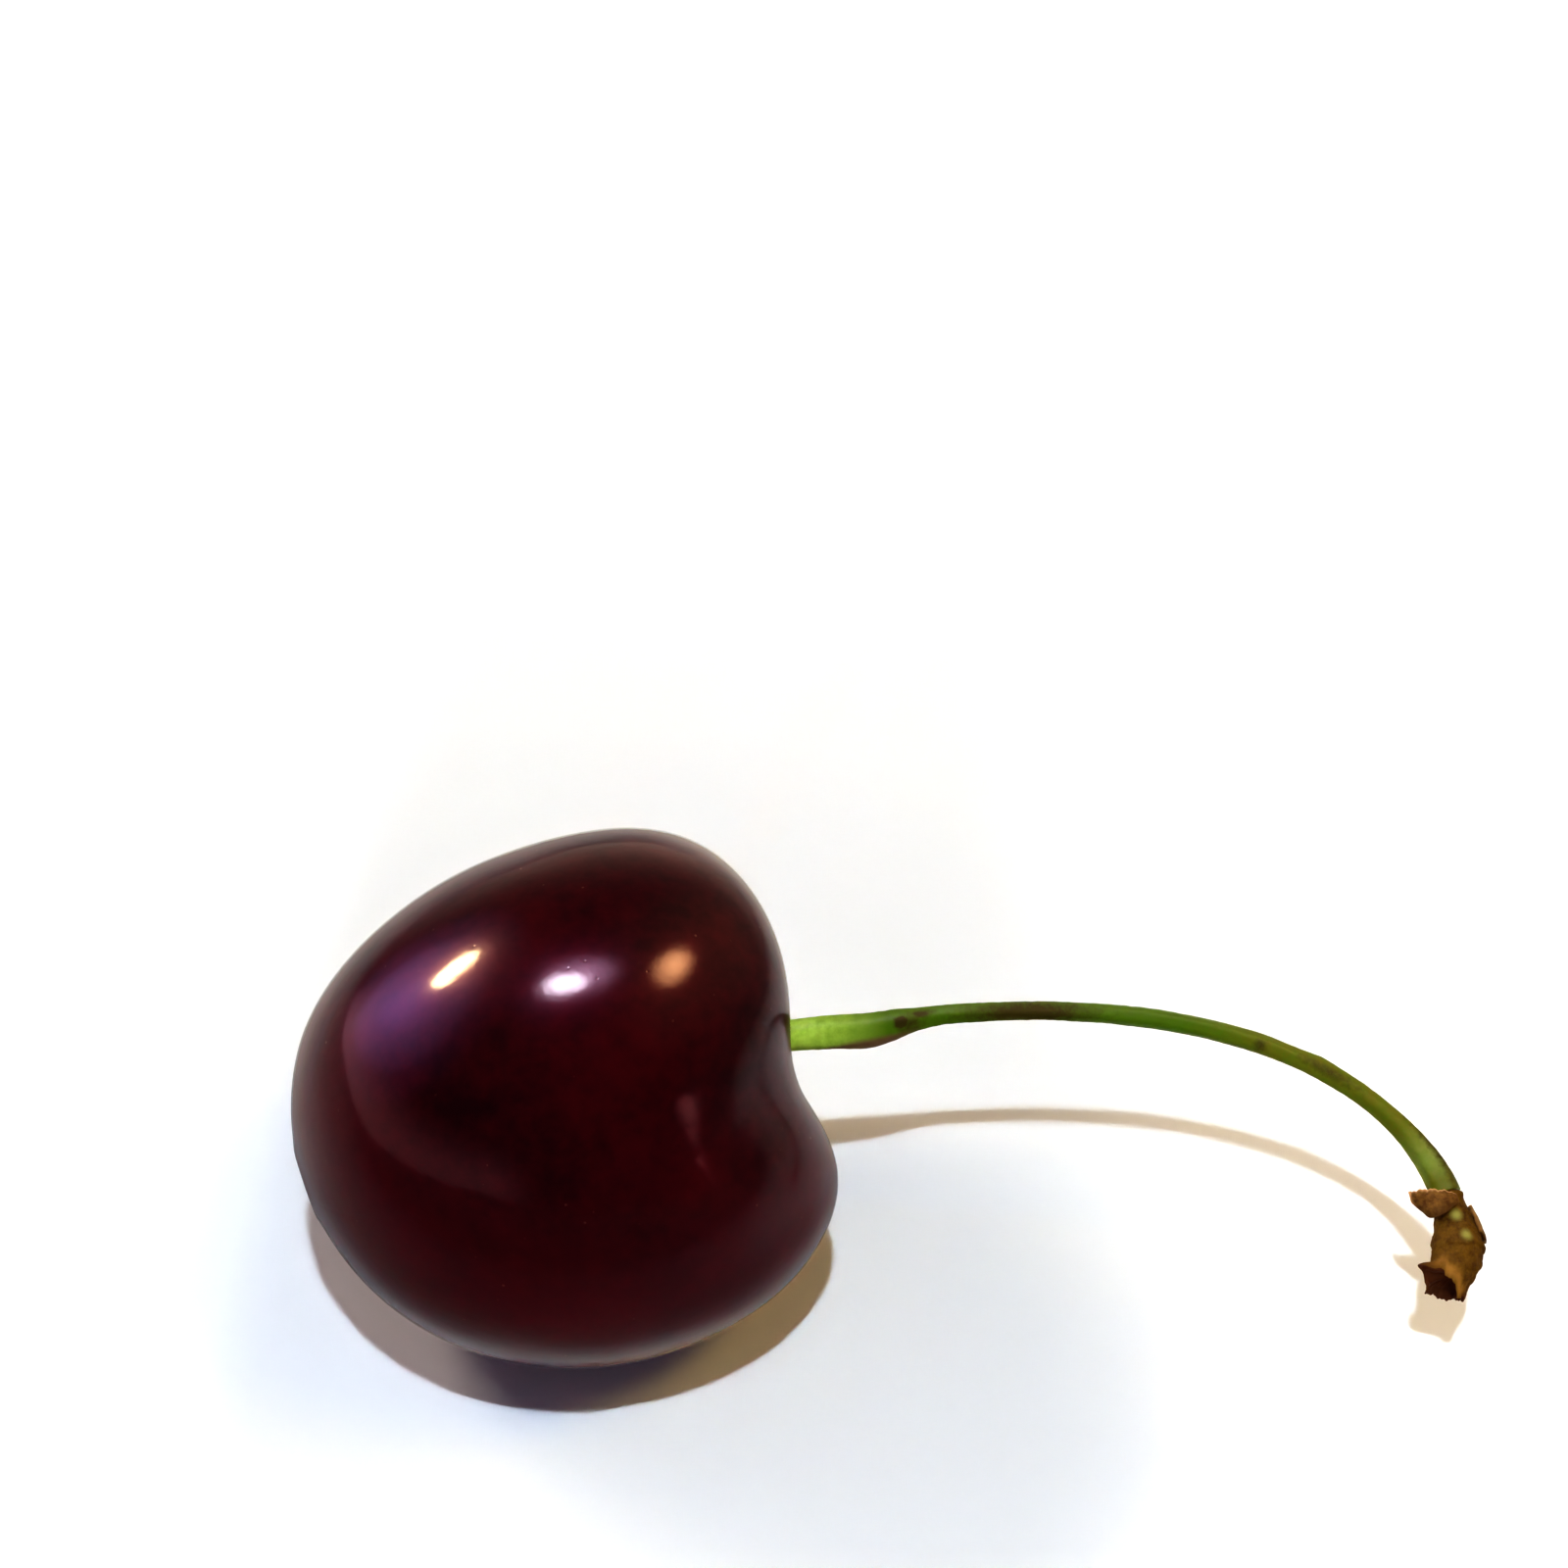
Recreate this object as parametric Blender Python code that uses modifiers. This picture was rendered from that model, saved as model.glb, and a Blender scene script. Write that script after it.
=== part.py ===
"""A single sweet cherry with its stalk, lying on its side.

The fruit lies with its stalk pointing along +X, and the shallow valley that runs from the stalk
cavity down one side of the fruit faces -Y. The origin is on the table, right under the middle of
the fruit. Units are metres, +Z is up.
"""

import math

import bmesh
import bpy
import numpy as np
from mathutils import Matrix, Vector

# ---- fruit -------------------------------------------------------------------------------
FRUIT_HEIGHT = 0.01246          # middle of the fruit above the table
STALK_END_LENGTH = 0.0145       # middle of the fruit to the shoulders, before the cavity
TIP_END_LENGTH = 0.0133         # middle of the fruit to its blossom end
FRUIT_HALF_WIDTH = 0.0129       # across, along the two shoulders
FRUIT_HALF_DEPTH = 0.0128       # across, from the valley side to the back
SHOULDER_SWELL = 0.10           # how much wider the stalk end is than the blossom end
ENDS_SWELL = 0.11               # how much fuller than an ellipsoid both ends are
CAVITY_DEPTH = 0.00585          # hollow that the stalk stands in
CAVITY_WIDTH = 0.40             # its width, as a share of the fruit's half width
VALLEY_DROP = 0.0066            # how far the shoulder sinks on the valley side
VALLEY_SPREAD = 0.52            # half angle of that dip, radians
BACK_DROP = 0.0007              # the same on the back
BACK_SPREAD = 0.80
SHOULDER_UNEVEN = 0.00094       # one shoulder stands further out than the other
SEAM_DEPTH = 0.037              # shallow seam along the valley, as a share of the radius
SEAM_SPREAD = 0.35
TIP_SHIFT_DEPTH = -0.0010       # blossom end off the axis, towards the back
TIP_SHIFT_WIDTH = -0.0007       # and towards one shoulder
FRUIT_YAW = math.radians(22.0)      # the axis turns from +X towards +Y
FRUIT_RISE = math.radians(6.5)      # the axis rises towards the stalk
FRUIT_ROLL = math.radians(28.4)     # the valley side turns up from level
FRUIT_SEGMENTS = 56
FRUIT_RINGS = 36
RING_CROWDING = 0.28            # rings drawn towards the stalk end, where the form is tighter

# ---- stalk: it stands clear of the cavity's floor and of the spur by about 0.3 mm --------
STALK_START = Vector((0.00866, 0.00328, 0.01356))   # in the bottom of the cavity
STALK_END = Vector((0.04356, -0.00240, 0.00880))    # at the woody spur
STALK_START_PULL = Vector((0.0252, 0.00415, 0.0033))
STALK_END_PULL = Vector((-0.0011, 0.0040, 0.00185))
STALK_RADIUS = 0.00053          # along the middle
STALK_FOOT_FLARE = 0.00034      # extra radius where it stands on the fruit
STALK_FOOT_REACH = 0.0042       # length over which that flare fades
STALK_HEAD_FLARE = 0.00032      # extra radius at the spur
STALK_HEAD_REACH = 0.0050
STALK_POINTS = 44

# ---- woody spur --------------------------------------------------------------------------
SPUR_TOP = Vector((0.04366, -0.00262, 0.00856))
SPUR_AXIS = Vector((0.14, 0.85, 0.50))              # from the torn end to the stalk
SPUR_LENGTH = 0.0053
SPUR_RADIUS = 0.00128
SPUR_BOW = 0.00060              # how far the middle bows out to +X
SPUR_NECK = 0.46                # narrowing towards the stalk
SPUR_LUMP = 0.07                # height of the lumps left by fallen scales
SPUR_SEGMENTS = 24
SPUR_RINGS = 20
TEAR_PLACE = Vector((0.0001, 0.0, -0.0042))         # the torn face passes here, in the spur's axes
TEAR_FACING = Vector((-0.52, -0.50, -0.69))
HOLLOW_RADIUS = 0.00078         # hollow in the torn face
HOLLOW_DEPTH = 0.00080

# ---- bud scales: dry brown scales that still clasp the spur ------------------------------
SCALE_THICKNESS = 0.00022
SCALE_CUP = 0.04                # how far a scale's edges curl inwards
SCALE_STEPS_ROUND = 14
SCALE_STEPS_ALONG = 6
# Angles in degrees round the spur, 180 to the left and 270 to the front; heights from its top.
SCALES = {
    "bud_scale_front": dict(start=186.0, sweep=126.0, radius=0.00124, tip_pull=0.00068,
                            top=0.00020, fall=-0.00012, depth=0.00122),
    "bud_scale_side": dict(start=322.0, sweep=80.0, radius=0.00150, tip_pull=0.00010,
                           top=-0.00090, fall=0.00030, depth=0.00100),
}


def clear_scene():
    """Remove what a new file starts with."""
    for thing in list(bpy.data.objects):
        bpy.data.objects.remove(thing, do_unlink=True)


def make_material(name, colour, roughness, coat=0.0):
    """A Principled material with one colour and one roughness."""
    material = bpy.data.materials.new(name)
    material.use_nodes = True
    shader = material.node_tree.nodes["Principled BSDF"]
    shader.inputs["Base Color"].default_value = (*colour, 1.0)
    shader.inputs["Roughness"].default_value = roughness
    shader.inputs["Metallic"].default_value = 0.0
    shader.inputs["Coat Weight"].default_value = coat
    material.diffuse_color = (*colour, 1.0)
    return material


def add_object(name, mesh, material, collection, parent):
    """Link a mesh as a smooth object with its material, under the parent empty."""
    thing = bpy.data.objects.new(name, mesh)
    collection.objects.link(thing)
    thing.parent = parent
    mesh.materials.append(material)
    mesh.shade_smooth()
    mesh.set_sharp_from_angle(angle=math.radians(50.0))
    return thing


def cut_flat(bm, place, facing):
    """Cut away what lies beyond a plane, and close the cut with one flat face."""
    cut = bmesh.ops.bisect_plane(bm, geom=bm.verts[:] + bm.edges[:] + bm.faces[:], dist=1e-6,
                                 plane_co=place, plane_no=facing.normalized(), clear_outer=True)
    rim = [item for item in cut["geom_cut"] if isinstance(item, bmesh.types.BMEdge)]
    bmesh.ops.contextual_create(bm, geom=rim)
    bmesh.ops.recalc_face_normals(bm, faces=bm.faces[:])


def fruit_axes():
    """The fruit's own axes in the world: valley side, shoulder side, and towards the stalk."""
    level = math.cos(FRUIT_RISE)
    stalkward = Vector((math.cos(FRUIT_YAW) * level, math.sin(FRUIT_YAW) * level,
                        math.sin(FRUIT_RISE)))
    front = Vector((math.sin(FRUIT_YAW), -math.cos(FRUIT_YAW), 0.0))
    upward = stalkward.cross(front) * -1.0
    valley = front * math.cos(FRUIT_ROLL) + upward * math.sin(FRUIT_ROLL)
    shoulder = stalkward.cross(valley)
    return valley, shoulder, stalkward


def bell(distance, spread):
    """A smooth bump: 1 in the middle, fading over the spread."""
    return np.exp(-(distance / spread) ** 2)


def wrap_angle(angle):
    """The same angle between -pi and pi."""
    return np.arctan2(np.sin(angle), np.cos(angle))


def fruit_form(from_stalk, around):
    """The fruit's surface: from_stalk is the angle from the stalk end, around starts at the valley.

    Along the axis it is an ellipsoid with a bell-shaped hollow sunk in the stalk end and a dip of
    the shoulder on the valley side. Across, its radius swells towards the stalk end, and a shallow
    seam runs down the valley.
    """
    rise = np.cos(from_stalk)
    reach = np.sin(from_stalk)
    stalk_side = np.clip(rise, 0.0, None)
    tip_side = np.clip(-rise, 0.0, None) ** 2
    along = np.where(rise > 0.0, rise * STALK_END_LENGTH, rise * TIP_END_LENGTH)
    along -= np.where(rise > 0.0, CAVITY_DEPTH * bell(reach, CAVITY_WIDTH), 0.0)
    dip = VALLEY_DROP * bell(wrap_angle(around), VALLEY_SPREAD)
    dip += BACK_DROP * bell(wrap_angle(around - math.pi), BACK_SPREAD)
    dip += SHOULDER_UNEVEN * np.sin(around)
    along -= stalk_side * reach ** 2 * dip
    radius = reach * (1.0 + SHOULDER_SWELL * rise + ENDS_SWELL * rise ** 2)
    seam = SEAM_DEPTH * bell(wrap_angle(around), SEAM_SPREAD)
    radius *= 1.0 - seam * reach * np.clip(0.6 + 0.6 * rise, 0.0, 1.0)
    to_valley = radius * np.cos(around) * FRUIT_HALF_DEPTH + TIP_SHIFT_DEPTH * tip_side
    to_shoulder = radius * np.sin(around) * FRUIT_HALF_WIDTH + TIP_SHIFT_WIDTH * tip_side
    return to_valley, to_shoulder, along


def build_fruit():
    """A UV sphere drawn into the fruit's form, with the small flat that it rests on."""
    bm = bmesh.new()
    bmesh.ops.create_uvsphere(bm, u_segments=FRUIT_SEGMENTS, v_segments=FRUIT_RINGS, radius=1.0)
    sphere = np.array([vert.co[:] for vert in bm.verts])
    from_stalk = np.arccos(np.clip(sphere[:, 2], -1.0, 1.0))
    from_stalk -= RING_CROWDING * np.sin(from_stalk)
    around = np.arctan2(sphere[:, 1], sphere[:, 0])
    form = np.stack(fruit_form(from_stalk, around), axis=1)
    placed = form @ np.array([axis[:] for axis in fruit_axes()])
    placed[:, 2] += FRUIT_HEIGHT
    for vert, place in zip(bm.verts, placed):
        vert.co = place
    cut_flat(bm, Vector((0.0, 0.0, 0.0)), Vector((0.0, 0.0, -1.0)))
    mesh = bpy.data.meshes.new("fruit")
    bm.to_mesh(mesh)
    bm.free()
    return mesh


def stalk_point(share):
    """A point on the stalk: one cubic Bezier curve from the cavity to the spur."""
    start_handle = STALK_START + STALK_START_PULL
    end_handle = STALK_END + STALK_END_PULL
    rest = 1.0 - share
    return (STALK_START * rest ** 3 + start_handle * 3.0 * rest ** 2 * share
            + end_handle * 3.0 * rest * share ** 2 + STALK_END * share ** 3)


def stalk_radius(run, length):
    """Thin along the middle, flared at the fruit and at the spur."""
    foot = STALK_FOOT_FLARE * math.exp(-((run / STALK_FOOT_REACH) ** 2))
    head = STALK_HEAD_FLARE * math.exp(-(((length - run) / STALK_HEAD_REACH) ** 2))
    return STALK_RADIUS + foot + head


def build_stalk(material, collection, parent):
    """A curve with a round bevel and filled caps, its radius set point by point."""
    points = [stalk_point(index / (STALK_POINTS - 1)) for index in range(STALK_POINTS)]
    runs = [0.0]
    for before, after in zip(points, points[1:]):
        runs.append(runs[-1] + (after - before).length)
    curve = bpy.data.curves.new("stalk", "CURVE")
    curve.dimensions = "3D"
    curve.bevel_depth = STALK_RADIUS
    curve.bevel_resolution = 3
    curve.use_fill_caps = True
    spline = curve.splines.new("POLY")
    spline.points.add(STALK_POINTS - 1)
    for point, place, run in zip(spline.points, points, runs):
        point.co = (*place, 1.0)
        point.radius = stalk_radius(run, runs[-1]) / STALK_RADIUS
    spline.use_smooth = True
    stalk = bpy.data.objects.new("stalk", curve)
    curve.materials.append(material)
    collection.objects.link(stalk)
    stalk.parent = parent
    return stalk


def spur_matrix():
    """Place of the spur: its own +Z runs to the stalk, its +X to the right, its origin on top."""
    up = SPUR_AXIS.normalized()
    right = (Vector((1.0, 0.0, 0.0)) - up * up.x).normalized()
    back = up.cross(right)
    turn = Matrix((right, back, up)).transposed()
    return Matrix.Translation(SPUR_TOP) @ turn.to_4x4()


def spur_bow(share):
    """How far the spur's middle line stands out to its right, at a share of its length."""
    return SPUR_BOW * math.sin(math.pi * min(max(share, 0.0), 1.0))


def build_spur():
    """A stretched sphere, narrow at the stalk, lumpy, bowed, with a slanted hollow torn end."""
    bm = bmesh.new()
    bmesh.ops.create_uvsphere(bm, u_segments=SPUR_SEGMENTS, v_segments=SPUR_RINGS, radius=1.0)
    for vert in bm.verts:
        share = 0.5 - 0.5 * vert.co.z
        around = math.atan2(vert.co.y, vert.co.x)
        fullness = math.sqrt(max(0.0, 1.0 - abs(vert.co.z) ** 3.0))
        narrowing = 1.0 - SPUR_NECK * (1.0 - share) ** 2
        lumps = 1.0 + SPUR_LUMP * math.sin(2.0 * around + 9.0 * share) * math.sin(math.pi * share)
        radius = SPUR_RADIUS * fullness * narrowing * lumps
        vert.co = (radius * math.cos(around) + spur_bow(share), radius * math.sin(around),
                   -share * SPUR_LENGTH)
    cut_flat(bm, TEAR_PLACE, TEAR_FACING)
    mesh = bpy.data.meshes.new("spur")
    bm.to_mesh(mesh)
    bm.free()
    return mesh


def add_hollow(spur, cutters):
    """Sink a bowl in the spur's torn face with a squashed ball as the cutter."""
    bm = bmesh.new()
    bmesh.ops.create_uvsphere(bm, u_segments=16, v_segments=10, radius=1.0)
    facing = TEAR_FACING.normalized()
    squash = Matrix.Diagonal((HOLLOW_RADIUS, HOLLOW_RADIUS, HOLLOW_DEPTH, 1.0))
    turn = facing.to_track_quat("Z", "Y").to_matrix().to_4x4()
    bmesh.ops.transform(bm, matrix=spur_matrix() @ Matrix.Translation(TEAR_PLACE) @ turn @ squash,
                        verts=bm.verts)
    mesh = bpy.data.meshes.new("hollow_cutter")
    bm.to_mesh(mesh)
    bm.free()
    cutter = bpy.data.objects.new("hollow_cutter", mesh)
    cutters.objects.link(cutter)
    cutter.hide_render = True
    cutter.display_type = "WIRE"
    hollow = spur.modifiers.new("hollow", "BOOLEAN")
    hollow.operation = "DIFFERENCE"
    hollow.object = cutter


def build_scale(name, start, sweep, radius, tip_pull, top, fall, depth):
    """An open sheet clasping the spur, drawn out to a tip at one end, with a rounded lower edge."""
    bm = bmesh.new()
    bmesh.ops.create_grid(bm, x_segments=SCALE_STEPS_ROUND, y_segments=SCALE_STEPS_ALONG, size=1.0)
    for vert in bm.verts:
        share = 0.5 + 0.5 * vert.co.x
        around = math.radians(start + sweep * share)
        reach = radius + tip_pull * (1.0 - share) ** 3
        reach *= 1.0 - SCALE_CUP * vert.co.y ** 2
        drop = depth * math.sin(math.pi * (0.07 + 0.78 * share)) ** 0.8
        along = top - fall * share - drop * (0.5 - 0.5 * vert.co.y)
        vert.co = (reach * math.cos(around) + spur_bow(-along / SPUR_LENGTH),
                   reach * math.sin(around), along)
    bmesh.ops.recalc_face_normals(bm, faces=bm.faces[:])
    mesh = bpy.data.meshes.new(name)
    bm.to_mesh(mesh)
    bm.free()
    return mesh


def main():
    """Build the cherry."""
    clear_scene()
    collection = bpy.data.collections.new("cherry")
    bpy.context.scene.collection.children.link(collection)
    cutters = bpy.data.collections.new("cutters")
    bpy.context.scene.collection.children.link(cutters)
    root = bpy.data.objects.new("cherry_root", None)
    collection.objects.link(root)
    skin = make_material("cherry_skin", (0.060, 0.004, 0.008), 0.12, coat=0.5)
    green = make_material("cherry_stalk", (0.165, 0.260, 0.028), 0.45)
    bark = make_material("spur_bark", (0.105, 0.062, 0.012), 0.75)
    husk = make_material("bud_scale_husk", (0.120, 0.052, 0.020), 0.70)
    add_object("fruit", build_fruit(), skin, collection, root)
    build_stalk(green, collection, root)
    spur = add_object("spur", build_spur(), bark, collection, root)
    spur.matrix_world = spur_matrix()
    add_hollow(spur, cutters)
    for name, sizes in SCALES.items():
        scale = add_object(name, build_scale(name, **sizes), husk, collection, root)
        scale.matrix_world = spur_matrix()
        wall = scale.modifiers.new("wall", "SOLIDIFY")
        wall.thickness = SCALE_THICKNESS
        wall.offset = 1.0
        wall.use_even_offset = True


main()
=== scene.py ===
"""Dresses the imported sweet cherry: glossy skin, green stalk, torn woody spur and its bud scales.

Every finished piece is a surface worked out with numpy in millimetres and stored in metres. The
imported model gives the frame: +X runs along the stalk, +Z is up, and the origin is on the table
under the fruit.
"""

import math

import bpy
import numpy as np
from bpy.props import FloatProperty, FloatVectorProperty, PointerProperty
from bpy.types import Operator, Panel, PropertyGroup
from mathutils import Matrix, Vector


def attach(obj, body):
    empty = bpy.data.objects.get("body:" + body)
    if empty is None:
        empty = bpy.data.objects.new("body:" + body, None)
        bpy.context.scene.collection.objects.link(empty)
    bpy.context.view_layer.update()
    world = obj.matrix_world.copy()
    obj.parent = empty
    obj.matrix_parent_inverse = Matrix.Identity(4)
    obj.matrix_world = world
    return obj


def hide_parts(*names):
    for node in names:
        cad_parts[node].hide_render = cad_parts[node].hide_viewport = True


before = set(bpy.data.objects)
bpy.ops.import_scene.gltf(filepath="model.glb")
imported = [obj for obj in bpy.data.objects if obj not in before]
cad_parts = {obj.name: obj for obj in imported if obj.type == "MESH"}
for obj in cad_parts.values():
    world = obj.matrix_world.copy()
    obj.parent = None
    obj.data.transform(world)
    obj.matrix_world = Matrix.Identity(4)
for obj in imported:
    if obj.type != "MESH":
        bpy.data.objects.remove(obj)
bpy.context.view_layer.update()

bl_info = {
    "name": "Sweet cherry",
    "version": (1, 0, 0),
    "blender": (4, 5, 0),
    "location": "3D View > Sidebar > Cherry",
    "description": "Builds the finished surfaces of a single sweet cherry with its stalk",
    "category": "Object",
}

MM = 0.001

# ---- the fruit's form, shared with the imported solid; lengths in millimetres ----
SHOULDER_SWELL = 0.10
ENDS_SWELL = 0.11
CAVITY_WIDTH = 0.40
VALLEY_SPREAD = 0.52
BACK_DROP = 0.7
BACK_SPREAD = 0.80
SHOULDER_UNEVEN = 0.94
SEAM_DEPTH = 0.037
SEAM_SPREAD = 0.35
TIP_SHIFT = (-1.0, -0.7)
FRUIT_YAW = math.radians(22.0)
FRUIT_RISE = math.radians(6.5)
FRUIT_ROLL = math.radians(28.4)
RING_CROWDING = 0.28
FRUIT_GRID = (236, 400)  # rings from the stalk end to the tip, columns around
FLAT_RISE = 0.20  # from this height down the skin eases onto its small flat

# Relief over the smooth fruit; every layer of ripples is a height, a wavelength and a seed
SKIN_RIPPLES = ((0.060, 9.5, 3), (0.007, 4.0, 5), (0.0008, 1.3, 8))
SEAM_LINE = 0.006
PUCKERS = 13.0
PUCKER_HEIGHT = 0.055
TIP_DIMPLE = 0.42
TIP_POINT = 0.16
TIP_RIM = 0.09
DENTS = 46
DENT_SPREAD = (0.08, 0.16)  # in radians
DENT_DEPTH = (0.004, 0.014)

# ---- the stalk's path: one cubic curve ----
STALK_START = (8.66, 3.28, 13.56)
STALK_END = (43.56, -2.40, 8.80)
STALK_START_PULL = (25.2, 4.15, 3.3)
STALK_END_PULL = (-1.1, 4.0, 1.85)
STALK_GRID = (640, 72)  # rows along the stalk, columns around
FOOT_REACH = 4.4  # how far each flare reaches along the stalk
HEAD_REACH = 3.0
RIDGES = 5.0
STALK_RIPPLES = ((0.016, 2.2, 31), (0.007, 0.5, 32))
THICK_END = 0.10  # extra radius of the first stretch: all round, and below
THICK_BELOW = 0.20
SAG = 0.22  # how far its middle hangs below the path
SAG_PLACE = 6.3

# Swellings all round the stalk: run from the fruit, length, extra radius
SWELLS = ((0.0, 0.55, 0.30), (1.5, 0.4, 0.05), (13.5, 4.0, -0.035))

# Knots on one side of it: run, length, angle up from the front and half angle in radians, height
KNOTS = ((6.3, 1.6, -1.4, 0.9, 0.42), (8.3, 0.5, 1.0, 0.8, 0.05), (29.5, 0.8, 2.4, 0.7, 0.06))

# Rubbed patches: run, length, angle up from the front and half angle in degrees, strength
RUSSET = (
    (7.95, 0.36, 36.0, 30.0, 1.25),
    (9.0, 0.75, 66.0, 34.0, 0.70),
    (8.4, 0.90, 20.0, 80.0, 0.55),
    (14.4, 3.9, 30.0, 100.0, 0.76),
    (26.3, 0.5, 35.0, 50.0, 0.55),
    (30.0, 2.2, 60.0, 50.0, 0.50),
    (36.5, 3.0, 118.0, 34.0, 0.62),
    (1.6, 0.30, 40.0, 30.0, 0.55),
    (21.0, 3.0, 200.0, 70.0, 0.45),
    (11.0, 2.2, 230.0, 60.0, 0.40),
)

# ---- the woody spur, in its own axes: +Z to the stalk, +X to the right ----
SPUR_TOP = (43.66, -2.62, 8.56)
SPUR_AXIS = (0.14, 0.85, 0.50)
SPUR_GRID = (260, 220)  # rows down the bark and back up inside, columns around
SPUR_OUTSIDE = 0.7  # share of the rows that lie outside
SPUR_LENGTH = 4.85
COLLAR = -0.50  # depth where the bark begins: above the top, round the stalk
BARK_RIPPLES = ((0.040, 0.85, 41), (0.020, 0.34, 42), (0.008, 0.16, 44))
HOLLOW_RIPPLES = ((0.035, 0.45, 43),)
HOLLOW_FLOOR = (0.42, 0.06, -3.75)
SPLINTER_ANGLE = math.radians(206.0)
SPLINTER_BEND = 1.02
SCAR_HEIGHT = 0.08

# The middle's shift to the right and the radius, at depths below the top
SPUR_DEPTHS = (-0.55, 0.0, 0.45, 1.0, 2.2, 3.2, 4.2, 5.2)
SPUR_BOWS = (-0.02, 0.04, 0.20, 0.38, 0.56, 0.46, 0.14, -0.05)
SPUR_RADII = (0.78, 0.80, 0.84, 0.96, 1.22, 1.16, 1.00, 0.92)

# Length of the wall, and how much is torn off it at angles in degrees: 180 left, 270 front
WALL = 4.72
TORN_ANGLES = (200.0, 215.0, 228.0, 245.0, 262.0, 280.0, 296.0, 310.0)
TORN_LENGTHS = (0.90, 1.08, 1.10, 0.76, 0.55, 0.38, -0.10, -0.10)

# Ledges of fallen scales: depth and height. Scars of fallen stalks: shift to the right and depth
LEDGES = ((0.62, 0.06), (1.30, 0.05), (2.28, 0.11), (3.30, 0.06), (4.05, 0.05))
STALK_SCARS = ((0.20, 1.08), (0.66, 2.04))

# Bud scales: first angle and sweep in degrees, and rows of the share of the sweep, the upper
# edge's height over the spur's top, the scale's reach down from it, and that edge's stand off
# the bark
SCALE_GRID = (150, 48)
SCALE_GAP = 0.07  # between the scale's inside and the bark
SCALES = {
    "bud_scale_front": dict(start=184.0, sweep=92.0, belly=0.09, paler=0.85, seed=51, rows=(
        (0.0, 0.02, 0.46, 1.02), (0.32, 0.12, 1.26, 0.62), (0.60, 0.16, 0.96, 0.28),
        (0.82, 0.10, 0.52, 0.06), (1.0, 0.0, 0.26, -0.04))),
    "bud_scale_side": dict(start=318.0, sweep=84.0, belly=0.03, paler=0.25, seed=52, rows=(
        (0.0, -0.60, 0.90, 0.0), (0.35, -0.26, 1.60, 0.0), (0.70, -0.30, 1.55, 0.0),
        (1.0, -0.66, 0.80, 0.0))),
}

# ---- the stage; places in metres, directions as (azimuth, elevation) in degrees ----
CAMERA_PLACE = (0.01064, -0.0775, 0.09456)
SENSOR_WIDTH = 36.0  # in millimetres
KEY_PLACE = (0.013, -0.076, 0.196)  # close above the fruit, so its shadows spread
LAMP_DISTANCE = 0.6
LAMP_AIM = (0.0, 0.0, 0.02)

# Lamps that only the gloss mirrors: the two directions each is seen between, width as a share of
# the distance, power, colour, the share of it that glows fully, and whether its ends are round
SHINES = {
    "left_shine": ((-113.0, 37.9), (-131.8, 44.3), 0.155, 16.0, "#FFDDA6", 0.50, True),
    "right_shine": ((108.4, 49.4), (108.4, 72.8), 0.42, 22.0, "#FFC890", 0.0, False),
    "ceiling_shine": ((-112.3, 72.6), (-168.0, 88.4), 0.23, 16.5, "#F6F0FF", 0.22, False),
    "ceiling_glow": ((-114.0, 69.0), (110.0, 78.5), 0.42, 10.5, "#EBD2F6", 0.0, False),
    "low_shine": ((56.0, 17.5), (69.5, -2.0), 0.08, 0.62, "#FF9FA0", 0.2, False),
}

# The window, the wall under it, the far and the right-hand walls and the room behind, which
# only the gloss mirrors: direction, colour by the cosine of the angle away, fade with height
GLOW_GAIN = 19.0
EVEN = ((0.0, "#FFFFFF"), (1.0, "#FFFFFF"))
GLOWS = (
    ((-109.0, 31.0), ((0.80, "#000000"), (0.90, "#42344E"), (0.974, "#9C82BC"), (1.0, "#CAA6F8")),
     EVEN),
    ((-70.0, 0.0), ((0.50, "#000000"), (0.72, "#785C5C")), ((0.12, "#FFFFFF"), (0.38, "#000000"))),
    ((140.0, 15.0), ((0.20, "#000000"), (0.85, "#473C34")), ((0.30, "#FFFFFF"), (0.90, "#303030"))),
    ((112.0, 52.0), ((0.75, "#000000"), (1.0, "#604C3A")), EVEN),
    ((180.0, 0.0), ((0.60, "#000000"), (0.95, "#272624")), ((0.10, "#FFFFFF"), (0.35, "#000000"))),
)


def linear(shade):
    """The linear value of an sRGB hex colour such as '#8C1020', with full alpha."""
    parts = [int(shade[place:place + 2], 16) / 255.0 for place in (1, 3, 5)]
    return (*[part / 12.92 if part <= 0.04045 else ((part + 0.055) / 1.055) ** 2.4
              for part in parts], 1.0)


# ---- settings ----

def length(name, description, default):
    """A length setting in metres, given in millimetres."""
    return FloatProperty(name=name, description=description, default=default * MM, min=0.0,
                         unit="LENGTH", precision=5)


def colour(name, description, default):
    """A colour setting, given as an sRGB hex value."""
    return FloatVectorProperty(name=name, description=description, default=linear(default), size=4,
                               subtype="COLOR", min=0.0, max=1.0)


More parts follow.
